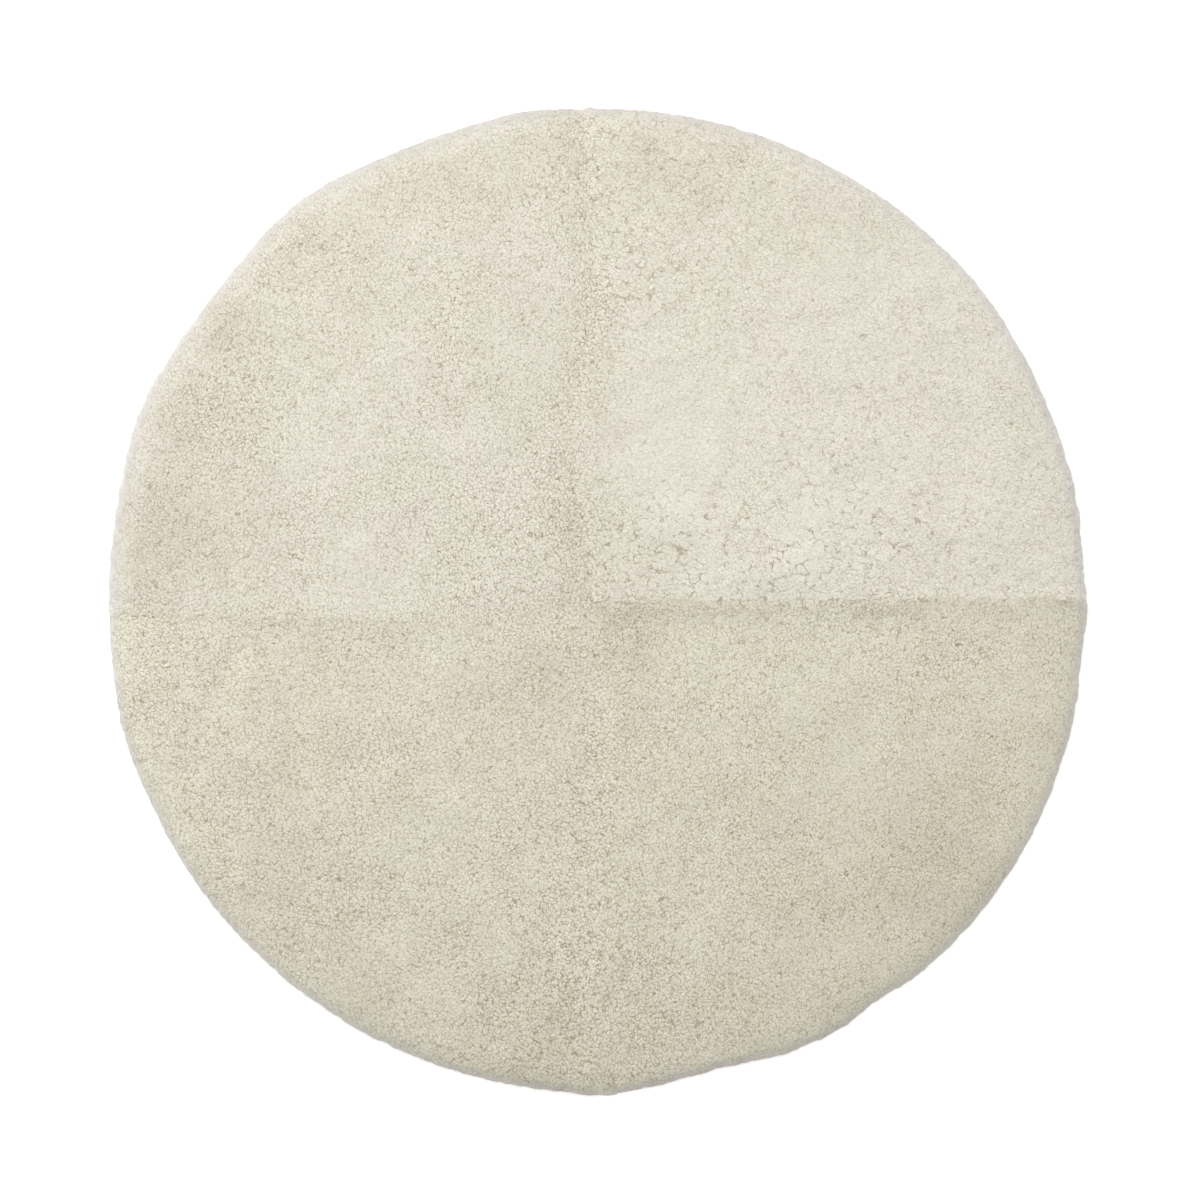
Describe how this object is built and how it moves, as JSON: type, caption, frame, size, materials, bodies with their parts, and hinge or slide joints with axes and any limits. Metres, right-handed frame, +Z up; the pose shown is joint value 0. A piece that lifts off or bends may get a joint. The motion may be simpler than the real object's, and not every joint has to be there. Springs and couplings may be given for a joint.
{
  "type": "round sheepskin rug",
  "caption": "Round flat floor rug of short curly sheepskins sewn edge to edge, wool side up, with a soft uneven rim.",
  "frame": {"origin": "middle of the rug's box, on its flat underside", "axes": "+Z up through the wool, +Y towards the back of the rug, which is the top of the picture, +X to the right"},
  "size_m": [1.1962, 1.2054, 0.0297],
  "materials": {
    "wool": "short curly wool, matt and soft, cream white",
    "hide": "tanned suede side of the hide, matt",
    "thread": "overcast stitches of waxed thread"
  },
  "bodies": {
    "root": {"skin_back_right": "wool", "skin_back_left": "wool", "skin_front_left": "wool", "skin_front_right": "wool"}
  },
  "joints": []
}
